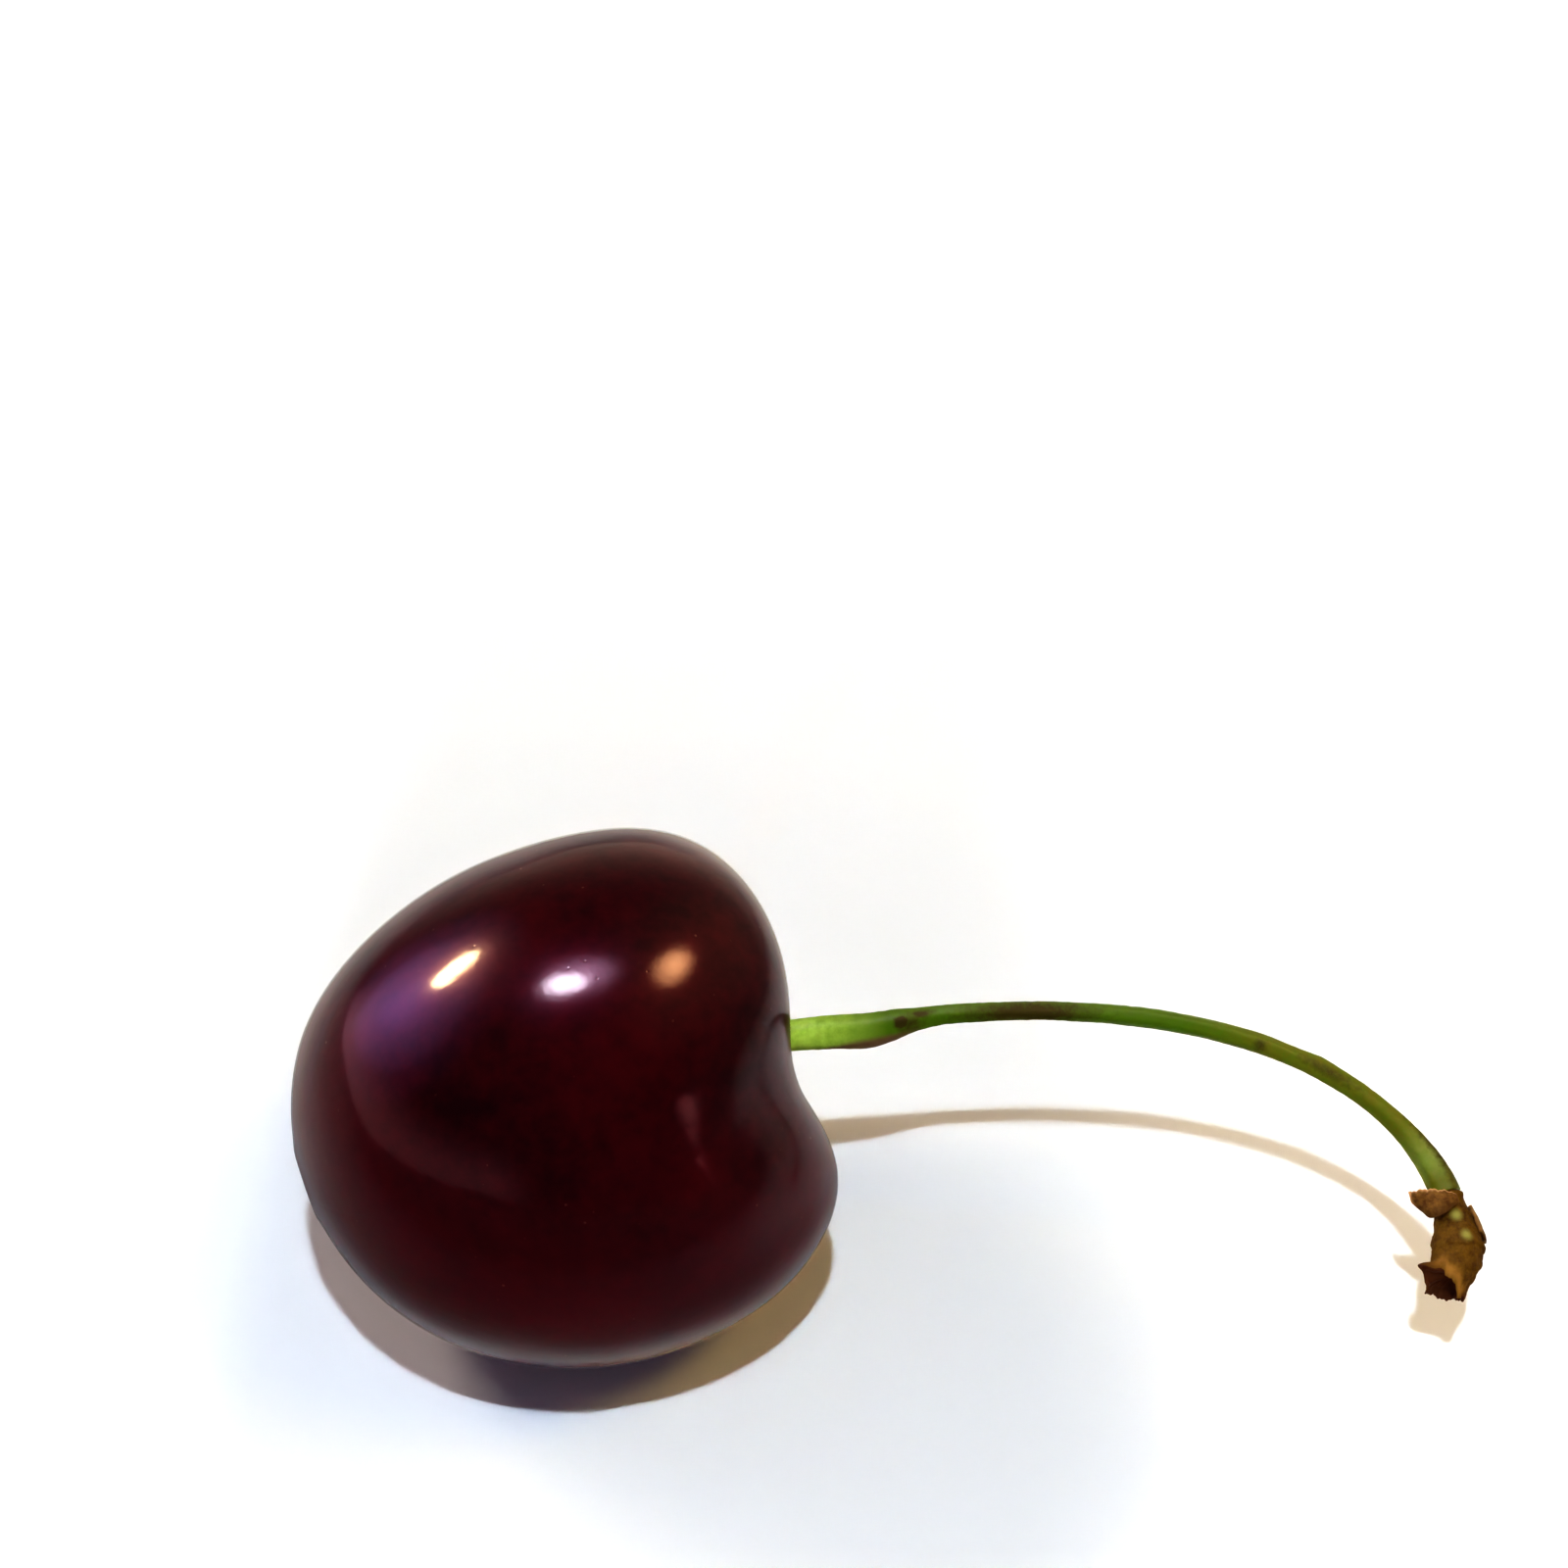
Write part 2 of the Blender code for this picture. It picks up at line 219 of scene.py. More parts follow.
class CherryFruitSettings(PropertyGroup):
    """Sizes and colours of the fruit."""

    height: length("Rest height", "Middle of the fruit above the table", 12.46)
    stalk_end: length("Stalk end", "Middle of the fruit to its shoulders", 14.5)
    tip_end: length("Blossom end", "Middle of the fruit to its blossom end", 13.3)
    half_width: length("Half width", "Across the two shoulders", 12.9)
    half_depth: length("Half depth", "From the valley side to the back", 12.8)
    cavity: length("Cavity depth", "Depth of the hollow round the stalk", 5.85)
    valley: length("Valley drop", "How far the shoulder sinks on the valley side", 6.6)
    deep: colour("Deep skin", "Ripest, nearly black parts of the skin", "#20040A")
    ripe: colour("Ripe skin", "Brighter crimson parts of the skin", "#40070F")
    # painted light: lighter, redder skin low on the sides stands in for light bounced up from the
    # table
    painted_bounce: colour("Blush", "Redder skin low on the sides", "#5C0B16")
    thin: colour("Thin skin", "Red along the seam and in the cavity", "#6A141E")
    pore: colour("Pores", "Pale pores", "#A87A5E")
    cork: colour("Cork", "Corky skin at the blossom point and round the stalk", "#8A6036")


class CherryStalkSettings(PropertyGroup):
    """Sizes and colours of the stalk."""

    radius: length("Radius", "Radius along the middle", 0.50)
    foot_flare: length("Foot flare", "Extra radius at the fruit", 0.34)
    head_flare: length("Head flare", "Extra radius at the spur", 0.26)
    ridge: length("Ridge height", "Height of the lengthwise ridges", 0.022)
    young: colour("Young green", "Green near the fruit", "#B2CE56")
    grown: colour("Grown green", "Green along the middle", "#50690C")
    aged: colour("Aged green", "Brownish green towards the spur", "#6A6A16")
    # painted sheen: the paler green where the stalk widens to the spur stands in for a highlight
    pale: colour("Pale green", "Green where the stalk widens to the spur", "#869040")
    russet: colour("Russet", "Brown where the stalk is rubbed", "#3E2E0E")
    # partly the rind's own brown, partly painted shade under the thick end at the fruit
    brown_and_shade_below: colour("Underside", "Brown under the thick end at the fruit", "#70523A")


class CherrySpurSettings(PropertyGroup):
    """Sizes and colours of the woody spur and its scales."""

    length: length("Spur length", "From the stalk to the torn end", SPUR_LENGTH)
    scale_wall: length("Scale thickness", "Thickness of a dry bud scale", 0.16)
    bark: colour("Bark", "Olive-brown bark", "#704F14")
    # dark mottles of the bark, and painted shade on the spur's right side and low on each scale
    dark_bark_and_shade: colour("Dark bark", "Bark in the folds and on the right side", "#4A300E")
    scar: colour("Scars", "Green scars of fallen stalks", "#A6A050")
    wood: colour("Torn wood", "Fresh wood along the tear", "#9E7230")
    hollow: colour("Hollow", "Dark inside of the torn end", "#54301A")
    husk: colour("Husk", "Dry brown scale", "#876028")
    husk_dark: colour("Dark husk", "Veins and folds of a scale", "#573817")
    # partly a pale margin, partly a painted highlight along the scale's edge
    husk_edge_and_highlight: colour("Husk edge", "Paler edge of a scale", "#D8A468")


class CherryStageSettings(PropertyGroup):
    """Camera, table and light."""

    focal: FloatProperty(name="Focal length", description="Camera focal length", default=51.75,
                         min=1.0, unit="CAMERA")
    pitch: FloatProperty(name="Camera pitch", description="How far the camera looks down",
                         default=math.radians(38.5), subtype="ANGLE")
    table_size: length("Table size", "Side of the white table", 6000.0)
    key: FloatProperty(name="Key light", description="Power of the near main lamp",
                       default=1.03, min=0.0, unit="POWER")
    fill: FloatProperty(name="Fill light", description="Strength of the warm and grey fills",
                        default=1.0, min=0.0)


# ---- numpy helpers ----

def bell(distance, width):
    """1 in the middle, fading as exp(-(distance / width)^2)."""
    return np.exp(-(distance / width) ** 2)


def wrap(angle):
    """The same angle between -pi and pi."""
    return np.arctan2(np.sin(angle), np.cos(angle))


def unit(vectors):
    """Vectors scaled to length 1 along their last axis."""
    return vectors / np.linalg.norm(vectors, axis=-1, keepdims=True)


def ease(value, low, high):
    """A smooth step from 0 at low to 1 at high."""
    share = np.clip((value - low) / (high - low), 0.0, 1.0)
    return share * share * (3.0 - 2.0 * share)


def between(value, rise, fall):
    """1 between two steps: it eases in over the range rise and out over the range fall."""
    return ease(value, *rise) * (1.0 - ease(value, *fall))


def ring(columns):
    """A row of angles once round, from 0."""
    return np.linspace(0.0, 2.0 * math.pi, columns, endpoint=False)[None, :]


def spread(*parts):
    """Rows, columns or grids of coordinates spread over each other as one grid of points."""
    return np.stack(np.broadcast_arrays(*parts), axis=-1)


def waves(points, wavelength, seed, count=24):
    """An even, blobby relief: the sum of sine waves of one wavelength in many directions.

    Each wave has its own seeded direction and phase, and the sum is scaled to about -1 to 1.
    """
    source = np.random.default_rng(seed)
    directions = unit(source.normal(size=(count, 3)))
    lengths = wavelength * source.uniform(0.75, 1.35, count)
    phases = source.uniform(0.0, 2.0 * math.pi, count)
    turns = points @ (directions * (2.0 * math.pi / lengths)[:, None]).T + phases
    return np.sin(turns).sum(axis=-1) / math.sqrt(count * 1.6)


def ripple(points, layers):
    """Waves of several sizes added up: each layer is a height, a wavelength and a seed."""
    return sum(height * waves(points, wavelength, seed) for height, wavelength, seed in layers)


def through(share, knots, values):
    """A smooth curve through a few values: cubic stretches that share their slope at the knots."""
    knots, values = np.array(knots), np.array(values)
    slope = np.gradient(values, knots)
    place = np.clip(np.searchsorted(knots, share, side="right") - 1, 0, len(knots) - 2)
    span = knots[place + 1] - knots[place]
    t = np.clip((share - knots[place]) / span, 0.0, 1.0)
    later = 3 * t ** 2 - 2 * t ** 3
    return (values[place] * (1 - later) + values[place + 1] * later
            + slope[place] * span * (t ** 3 - 2 * t ** 2 + t)
            + slope[place + 1] * span * (t ** 3 - t ** 2))


def new_object(name, data):
    """An object at the origin, in the scene."""
    made = bpy.data.objects.new(name, data)
    bpy.context.scene.collection.objects.link(made)
    return made


def mesh_piece(name, points, faces, attributes, material):
    """A smooth mesh object from points in millimetres, with its float attributes and material."""
    mesh = bpy.data.meshes.new(name)
    mesh.from_pydata(points * MM, [], faces)
    mesh.validate()
    for label, values in attributes.items():
        layer = mesh.attributes.new(label, "FLOAT", "POINT")
        layer.data.foreach_set("value", np.asarray(values, np.float32).ravel())
    mesh.materials.append(material)
    mesh.shade_smooth()
    piece = new_object(name, mesh)
    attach(piece, "root")
    return piece


def tube_piece(name, grid, attributes, material, ends=None):
    """A closed tube from a grid of points (rows, columns, 3), facing out.

    Quads join its rows, and a fan of triangles closes each end at a pole. The poles stand at the
    ends given, or else in the middle of the first and the last row. attributes hold a grid of
    values each, and a pole takes the mean of the row beside it.
    """
    index = np.arange(grid[..., 0].size).reshape(grid.shape[:2])
    after = np.roll(index, -1, axis=1)
    quads = np.stack([index[:-1], index[1:], after[1:], after[:-1]], axis=-1).reshape(-1, 4)
    start = spread(index.size, index[0], after[0])
    end = spread(index.size + 1, after[-1], index[-1])
    poles = grid[[0, -1]].mean(axis=1) if ends is None else ends
    flat = {label: np.concatenate([values.ravel(), values[[0, -1]].mean(axis=1)])
            for label, values in attributes.items()}
    return mesh_piece(name, np.concatenate([grid.reshape(-1, 3), poles]),
                      [*quads.tolist(), *start.tolist(), *end.tolist()], flat, material)


# ---- materials ----

COLOUR_MIX = {"output": 2, "data_type": "RGBA"}


def add(tree, kind, inputs=None, output=0, stops=(), **settings):
    """Add a node with its settings and links, and return one of its output sockets.

    kind is its type without the ShaderNode that each begins with. An input is a value or the
    output socket linked to it, and stops are a colour ramp's places and colours.
    """
    node = tree.nodes.new("ShaderNode" + kind)
    node.location = (-220 * (len(tree.nodes) // 3), -240 * (len(tree.nodes) % 3))
    for label, value in settings.items():
        setattr(node, label, value)
    for label, value in (inputs or {}).items():
        if isinstance(value, bpy.types.NodeSocket):
            tree.links.new(value, node.inputs[label])
        else:
            node.inputs[label].default_value = value
    for number, (place, shade) in enumerate(stops):
        elements = node.color_ramp.elements
        element = elements[number] if number < len(elements) else elements.new(place)
        element.position = place
        element.color = shade
    return node.outputs[output] if node.outputs else node


def empty_tree(holder):
    """The node tree of a material, lamp or world, with nothing in it."""
    holder.use_nodes = True
    holder.node_tree.nodes.clear()
    return holder.node_tree


def new_material(name):
    """An empty node material and its tree."""
    material = bpy.data.materials.new(name)
    return material, empty_tree(material)


def grey(level):
    """A neutral colour of one linear level."""
    return (level, level, level, 1.0)


def per(millimetres):
    """The scale at which a texture repeats about every so many millimetres."""
    return 1.0 / (millimetres * MM)


def cherry_skin(sizes):
    """Ripe sweet-cherry skin: thin, taut and waxy over dark flesh.

    The wax gives sharp highlights, and the pigment under it a broad crimson sheen round them. The
    colour runs from crimson to nearly black, redder in the cavity and along the seam, with faint
    pale pores about 0.1 mm wide every millimetre or so, and cork round the stalk and at the
    blossom point. Low on the sides the skin is painted lighter and redder, as painted bounce
    light from the table.
    """
    material, tree = new_material("ripe_cherry_skin")
    place = add(tree, "TexCoord", output="Object")
    ripeness, marbling, peel = [
        add(tree, "TexNoise", {"Vector": place, "Scale": per(size), "Detail": detail,
                               "Roughness": fineness})
        for size, detail, fineness in ((7.0, 4.0, 0.55), (1.1, 5.0, 0.6), (0.45, 2.0, 0.4))]
    mottle = add(tree, "Mix", {0: 0.35, 2: ripeness, 3: marbling})
    skin = add(tree, "ValToRGB", {"Fac": mottle}, stops=((0.39, sizes.deep), (0.68, sizes.ripe)))
    cells = add(tree, "TexVoronoi", {"Vector": place, "Scale": per(0.95)})
    dots = add(tree, "ValToRGB", {"Fac": cells}, stops=((0.045, grey(1.0)), (0.085, grey(0.0))))
    patchy = add(tree, "ValToRGB", {"Fac": marbling},
                 stops=((0.48, grey(0.0)), (0.68, grey(0.20))))
    pores = add(tree, "Math", {0: dots, 1: patchy}, operation="MULTIPLY")
    thin, painted_bounce, cork = [add(tree, "Attribute", output="Fac", attribute_name=label)
                         for label in ("thin", "painted_bounce", "cork")]
    for mask, shade in ((thin, sizes.thin), (painted_bounce, sizes.painted_bounce), (pores, sizes.pore),
                        (cork, sizes.cork)):
        skin = add(tree, "Mix", {0: mask, 6: skin, 7: shade}, **COLOUR_MIX)
    relief = add(tree, "Math", {0: dots, 1: -0.7, 2: peel}, operation="MULTIPLY_ADD")
    normal = add(tree, "Bump", {"Height": relief, "Strength": 0.12, "Distance": 0.03 * MM})
    rough = add(tree, "Math", {0: cork, 1: 0.4, 2: 0.28}, operation="MULTIPLY_ADD")
    shader = add(tree, "BsdfPrincipled", {
        "Base Color": skin, "Roughness": rough, "IOR": 1.10, "Normal": normal,
        "Specular Tint": (1.0, 0.24, 0.48, 1.0), "Coat Weight": 1.0, "Coat Roughness": 0.10,
        "Coat IOR": 1.14, "Coat Normal": normal})
    add(tree, "OutputMaterial", {"Surface": shader})
    return material


def green_stalk(sizes):
    """A fresh cherry stalk: smooth green rind with a soft sheen.

    The green is pale at the fruit, deep along the middle and brownish near the spur, with fine
    darker flecks and brown where it was rubbed. Where it widens to the spur a paler green is a
    painted sheen, and under its thick end the brown is partly painted shade.
    """
    material, tree = new_material("fresh_green_stalk")
    place = add(tree, "TexCoord", output="Object")
    along, russet, below = [add(tree, "Attribute", output="Fac", attribute_name=label)
                            for label in ("along", "russet", "brown_and_shade_below")]
    # the pale stop near the spur is a painted sheen
    rind = add(tree, "ValToRGB", {"Fac": along}, stops=(
        (0.09, sizes.young), (0.19, sizes.grown), (0.58, sizes.grown), (0.70, sizes.aged),
        (0.90, sizes.aged), (0.955, sizes.pale), (0.985, sizes.aged)))
    fleck, grain, groove = [
        add(tree, "TexNoise", {"Vector": place, "Scale": per(size), "Detail": detail,
                               "Roughness": fineness})
        for size, detail, fineness in ((0.5, 4.0, 0.6), (0.28, 4.0, 0.65), (0.16, 3.0, 0.6))]
    flecked = add(tree, "ValToRGB", {"Fac": fleck}, stops=((0.35, grey(0.0)), (0.75, grey(0.45))))
    patch = add(tree, "Math", {0: grain, 1: 0.6, 2: russet}, operation="MULTIPLY_ADD")
    worn = add(tree, "ValToRGB", {"Fac": patch}, stops=((0.50, grey(0.0)), (0.95, grey(0.9))))
    # the last layer is partly the rind's own brown and partly painted shade under the thick end
    for mask, shade in ((flecked, linear("#4E7410")), (worn, sizes.russet),
                        (below, sizes.brown_and_shade_below)):
        rind = add(tree, "Mix", {0: mask, 6: rind, 7: shade}, **COLOUR_MIX)
    normal = add(tree, "Bump", {"Height": groove, "Strength": 0.35, "Distance": 0.04 * MM})
    rough = add(tree, "Math", {0: worn, 1: 0.3, 2: 0.50}, operation="MULTIPLY_ADD")
    shader = add(tree, "BsdfPrincipled", {
        "Base Color": rind, "Roughness": rough, "IOR": 1.18, "Normal": normal,
        "Subsurface Weight": 0.12, "Subsurface Radius": (0.5, 1.0, 0.2),
        "Subsurface Scale": 0.35 * MM})
    add(tree, "OutputMaterial", {"Surface": shader})
    return material


def spur_bark(sizes):
    """Bark of a fruit spur: matte and rough.

    It is olive-brown and mottled, with painted shade on the right side, green scars, pale torn
    wood along the front of the rim and a dark hollow.
    """
    material, tree = new_material("fruit_spur_bark")
    place = add(tree, "TexCoord", output="Object")
    mottle = add(tree, "TexNoise", {"Vector": place, "Scale": per(0.7), "Detail": 5.0,
                                    "Roughness": 0.65})
    fine = add(tree, "TexNoise", {"Vector": place, "Scale": per(0.13), "Detail": 4.0,
                                  "Roughness": 0.6})
    bark = add(tree, "ValToRGB", {"Fac": mottle},
               stops=((0.34, sizes.dark_bark_and_shade), (0.62, sizes.bark)))
    flecked = add(tree, "ValToRGB", {"Fac": fine}, stops=((0.45, grey(0.0)), (0.80, grey(0.3))))
    bark = add(tree, "Mix", {0: flecked, 6: bark, 7: linear("#8A6A1E")}, **COLOUR_MIX)
    for label, shade in (("shade", sizes.dark_bark_and_shade), ("scar", sizes.scar), ("wood", sizes.wood),
                         ("hollow", sizes.hollow)):
        mask = add(tree, "Attribute", output="Fac", attribute_name=label)
        bark = add(tree, "Mix", {0: mask, 6: bark, 7: shade}, **COLOUR_MIX)
    normal = add(tree, "Bump", {"Height": fine, "Strength": 0.5, "Distance": 0.06 * MM})
    shader = add(tree, "BsdfPrincipled", {
        "Base Color": bark, "Roughness": 0.8, "IOR": 1.15, "Normal": normal})
    add(tree, "OutputMaterial", {"Surface": shader})
    return material


def dry_husk(sizes):
    """A dry bud scale: papery brown husk with fine lengthwise veins.

    Its edge is paler, a pale margin with a painted highlight, and painted shade darkens its
    lower part into the bark's dark brown.
    """
    material, tree = new_material("dry_bud_scale")
    place = add(tree, "TexCoord", output="Object")
    mottle = add(tree, "TexNoise", {"Vector": place, "Scale": per(0.35), "Detail": 4.0,
                                    "Roughness": 0.6})
    vein, edge, shade = [add(tree, "Attribute", output="Fac", attribute_name=label)
                         for label in ("vein", "edge", "shade")]
    husk = add(tree, "ValToRGB", {"Fac": mottle},
               stops=((0.35, sizes.husk_dark), (0.70, sizes.husk)))
    for mask, tone in ((vein, sizes.husk_dark), (edge, sizes.husk_edge_and_highlight), (shade, sizes.dark_bark_and_shade)):
        husk = add(tree, "Mix", {0: mask, 6: husk, 7: tone}, **COLOUR_MIX)
    grain = add(tree, "Math", {0: vein, 1: 1.2, 2: mottle}, operation="MULTIPLY_ADD")
    normal = add(tree, "Bump", {"Height": grain, "Strength": 0.4, "Distance": 0.04 * MM})
    shader = add(tree, "BsdfPrincipled", {
        "Base Color": husk, "Roughness": 0.7, "IOR": 1.15, "Normal": normal})
    add(tree, "OutputMaterial", {"Surface": shader})
    return material


def white_table():
    """A matte white table top: plain painted board, pale into the distance.

    The gloss sees it bright right under the fruit and far to the right, and dim close round the
    fruit, on the left and in front: a painted reflection, which keeps the skin deep on its lower
    side. Far out, where the near lamp falls off, it glows a little to stay as pale. On both sides
    of the fruit it glows too, painted light that pales the floor and its shadows there, warm on
    the right. The gloss sees little of that glow, and it lights nothing.
    """
    material, tree = new_material("matte_white_board")
    place = add(tree, "TexCoord", output="Object")
    cloud = add(tree, "TexNoise", {"Vector": place, "Scale": per(40.0), "Detail": 2.0})
    board = add(tree, "ValToRGB", {"Fac": cloud}, stops=((0.3, grey(0.86)), (0.7, grey(0.88))))
    across = add(tree, "SeparateXYZ", {"Vector": place})
    back = across.node.outputs["Y"]
    away = add(tree, "VectorMath", {0: place}, "Value", operation="LENGTH")
    # seen to backward: the painted reflection that the gloss sees; right and left: painted light
    # beside the fruit
    seen, under, rightward, backward, glow, warmth, right, left = [
        add(tree, "MapRange", {"Value": value, "From Min": low * MM, "From Max": high * MM,
                               "To Min": least, "To Max": most}, interpolation_type=step)
        for value, low, high, least, most, step in (
            (away, 20.0, 40.0, 0.40, 1.0, "LINEAR"),
            (away, 8.0, 14.0, 4.5, 1.5, "LINEAR"),
            (across, -10.0, 80.0, 0.65, 2.2, "LINEAR"),
            (back, -45.0, -15.0, 0.15, 1.0, "LINEAR"),
            (away, 30.0, 220.0, 0.0, 0.75, "LINEAR"),
            (across, 17.0, 34.0, 0.0, 1.0, "LINEAR"),
            (across, 21.0, 38.0, 0.0, 0.14, "SMOOTHSTEP"),
            (across, -15.0, -24.0, 0.0, 0.17, "SMOOTHSTEP"))]
    for share in (under, rightward, backward):
        seen = add(tree, "Math", {0: seen, 1: share}, operation="MULTIPLY")
    for side in (right, left):
        glow = add(tree, "Math", {0: glow, 1: side})
    glossy = add(tree, "LightPath", output="Is Glossy Ray")
    board = add(tree, "Mix", {0: glossy, 6: board, 7: seen}, **COLOUR_MIX)
    warm = add(tree, "Mix", {0: warmth, 6: grey(1.0), 7: linear("#FFF0D8")}, **COLOUR_MIX)
    kept = add(tree, "Math", {0: glossy, 1: -0.85, 2: 1.0}, operation="MULTIPLY_ADD")
    glow = add(tree, "Math", {0: glow, 1: kept}, operation="MULTIPLY")
    glow = add(tree, "Mix", {0: glossy.node.outputs["Is Diffuse Ray"], 2: glow, 3: 0.0})
    shader = add(tree, "BsdfPrincipled", {
        "Base Color": board, "Roughness": 0.9, "Specular IOR Level": 0.1,
        "Emission Color": warm, "Emission Strength": glow})
    add(tree, "OutputMaterial", {"Surface": shader})
    material.cycles.emission_sampling = "NONE"
    return material


# ---- pieces ----

def fruit_axes():
    """The fruit's own axes as rows: valley side, shoulder side, and towards the stalk."""
    level = np.array([math.cos(FRUIT_YAW), math.sin(FRUIT_YAW), 0.0])
    stalkward = level * math.cos(FRUIT_RISE) + [0.0, 0.0, math.sin(FRUIT_RISE)]
    front = np.array([math.sin(FRUIT_YAW), -math.cos(FRUIT_YAW), 0.0])
    upward = -np.cross(stalkward, front)
    valley = front * math.cos(FRUIT_ROLL) + upward * math.sin(FRUIT_ROLL)
    return np.array([valley, np.cross(stalkward, valley), stalkward])


def fruit_form(sizes, from_stalk, around):
    """The smooth fruit: from_stalk is the angle from the stalk end, around starts at the valley.

    Along the axis it is an ellipsoid with a bell-shaped hollow sunk in the stalk end and a
    shoulder that dips on the valley side and a little at the back. Across, its radius swells at
    both ends, more at the stalk's, a shallow seam runs down the valley and fades out past the
    middle, and the tip lies a little off the axis. The result is in the fruit's own axes, in
    millimetres.
    """
    rise = np.cos(from_stalk)
    reach = np.sin(from_stalk)
    tip_side = np.clip(-rise, 0.0, None) ** 2
    along = np.where(rise > 0.0, rise * sizes.stalk_end, rise * sizes.tip_end) / MM
    along -= np.where(rise > 0.0, sizes.cavity / MM * bell(reach, CAVITY_WIDTH), 0.0)
    dip = sizes.valley / MM * bell(wrap(around), VALLEY_SPREAD)
    dip += BACK_DROP * bell(wrap(around - math.pi), BACK_SPREAD)
    dip += SHOULDER_UNEVEN * np.sin(around)
    along -= np.clip(rise, 0.0, None) * reach ** 2 * dip
    radius = reach * (1.0 + SHOULDER_SWELL * rise + ENDS_SWELL * rise ** 2)
    seam = SEAM_DEPTH * bell(wrap(around), SEAM_SPREAD)
    radius *= 1.0 - seam * reach * np.clip(0.6 + 0.6 * rise, 0.0, 1.0)
    to_valley = radius * np.cos(around) * sizes.half_depth / MM + TIP_SHIFT[0] * tip_side
    to_shoulder = radius * np.sin(around) * sizes.half_width / MM + TIP_SHIFT[1] * tip_side
    return np.stack([to_valley, to_shoulder, along], axis=-1)


def grid_normals(grid):
    """Outward unit normals of a closed grid, from its two sets of neighbours."""
    down = np.gradient(grid, axis=0)
    across = np.roll(grid, -1, axis=1) - np.roll(grid, 1, axis=1)
    normals = unit(np.cross(down, across) + 1e-12)
    outward = np.sign((normals * (grid - grid.mean(axis=(0, 1)))).sum(axis=-1).mean())
    return normals * outward


def fruit_relief(form, from_stalk, around):
    """Height of the fine relief over the smooth fruit, in millimetres.

    Broad waves make the skin uneven, shallow dents lie scattered over it, a hair-thin seam runs
    from the cavity to the tip, the cavity's wall is puckered round the stalk, and the blossom end
    has a small dimple with a corky point in its middle.
    """
    relief = ripple(form, SKIN_RIPPLES)
    seam = bell(wrap(around + 0.03 * np.sin(3.0 * from_stalk)), 0.020)
    seam = seam * ease(from_stalk, 0.35, 0.9) * (1.0 - 0.5 * ease(from_stalk, 2.2, 3.0))
    relief -= SEAM_LINE * seam
    folds = np.cos(PUCKERS * around + 2.0 * np.sin(2.0 * around))
    relief += PUCKER_HEIGHT * bell(from_stalk - 0.24, 0.16) * folds
    tip = math.pi - from_stalk
    relief -= TIP_DIMPLE * bell(tip, 0.075) - TIP_POINT * bell(tip, 0.022)
    relief += TIP_RIM * bell(tip - 0.11, 0.05)
    source = np.random.default_rng(21)
    for centre in unit(source.normal(size=(DENTS, 3))):
        away = np.arccos(np.clip(unit(form) @ centre, -1.0, 1.0))
        dent = bell(away, source.uniform(*DENT_SPREAD))
        relief -= source.uniform(*DENT_DEPTH) * dent
    return relief


def build_fruit(sizes):
    """The fruit's skin: the smooth form moved along its normals by the relief, set on the table.

    Near the table it eases onto a small flat. Masks mark the thin red skin in the valley and the
    cavity, the cork at both ends and the painted bounce light, which makes the skin lighter and
    redder low on the sides.
    """
    rows, columns = FRUIT_GRID
    rings = np.linspace(0.0, math.pi, rows + 2)[1:-1]
    from_stalk = (rings - RING_CROWDING * np.sin(rings))[:, None] * np.ones(columns)
    around = np.linspace(-math.pi, math.pi, columns, endpoint=False) * np.ones((rows, 1))
    form = fruit_form(sizes, from_stalk, around)
    form = form + grid_normals(form) * fruit_relief(form, from_stalk, around)[..., None]
    placed = form @ fruit_axes()
    height = placed[..., 2] + sizes.height / MM
    flat = np.maximum(height, 0.0) * 0.5 + FLAT_RISE * 0.5 * ease(height, -FLAT_RISE, FLAT_RISE)
    placed[..., 2] = np.where(height < FLAT_RISE, flat, height)
    valley = bell(wrap(around), 0.16) * between(from_stalk, (0.3, 0.9), (1.3, 2.2))
    hollow = 1.0 - ease(from_stalk, 0.18, 0.55)
    scab = 0.85 * (1.0 - ease(from_stalk, 0.075, 0.12))
    # painted bounce light: the skin is made lighter and redder low on the sides, towards the table
    low = 1.0 - ease(placed[..., 2] + 0.20 * placed[..., 0], 12.0, 21.0)
    masks = {"thin": 0.10 * valley + 0.40 * hollow,
             "cork": np.maximum(bell(math.pi - from_stalk, 0.040), scab),
             "painted_bounce": 0.34 * low}
    return tube_piece("fruit_skin", placed, masks, cherry_skin(sizes))


def stalk_path(share):
    """Points and directions along the stalk's cubic curve, for shares of its parameter."""
    start, end = np.array(STALK_START), np.array(STALK_END)
    first, second = start + STALK_START_PULL, end + STALK_END_PULL
    t = share[:, None]
    points = (start * (1 - t) ** 3 + first * 3 * (1 - t) ** 2 * t
              + second * 3 * (1 - t) * t ** 2 + end * t ** 3)
    heading = ((first - start) * 3 * (1 - t) ** 2 + (second - first) * 6 * (1 - t) * t
               + (end - second) * 3 * t ** 2)
    return points, unit(heading)


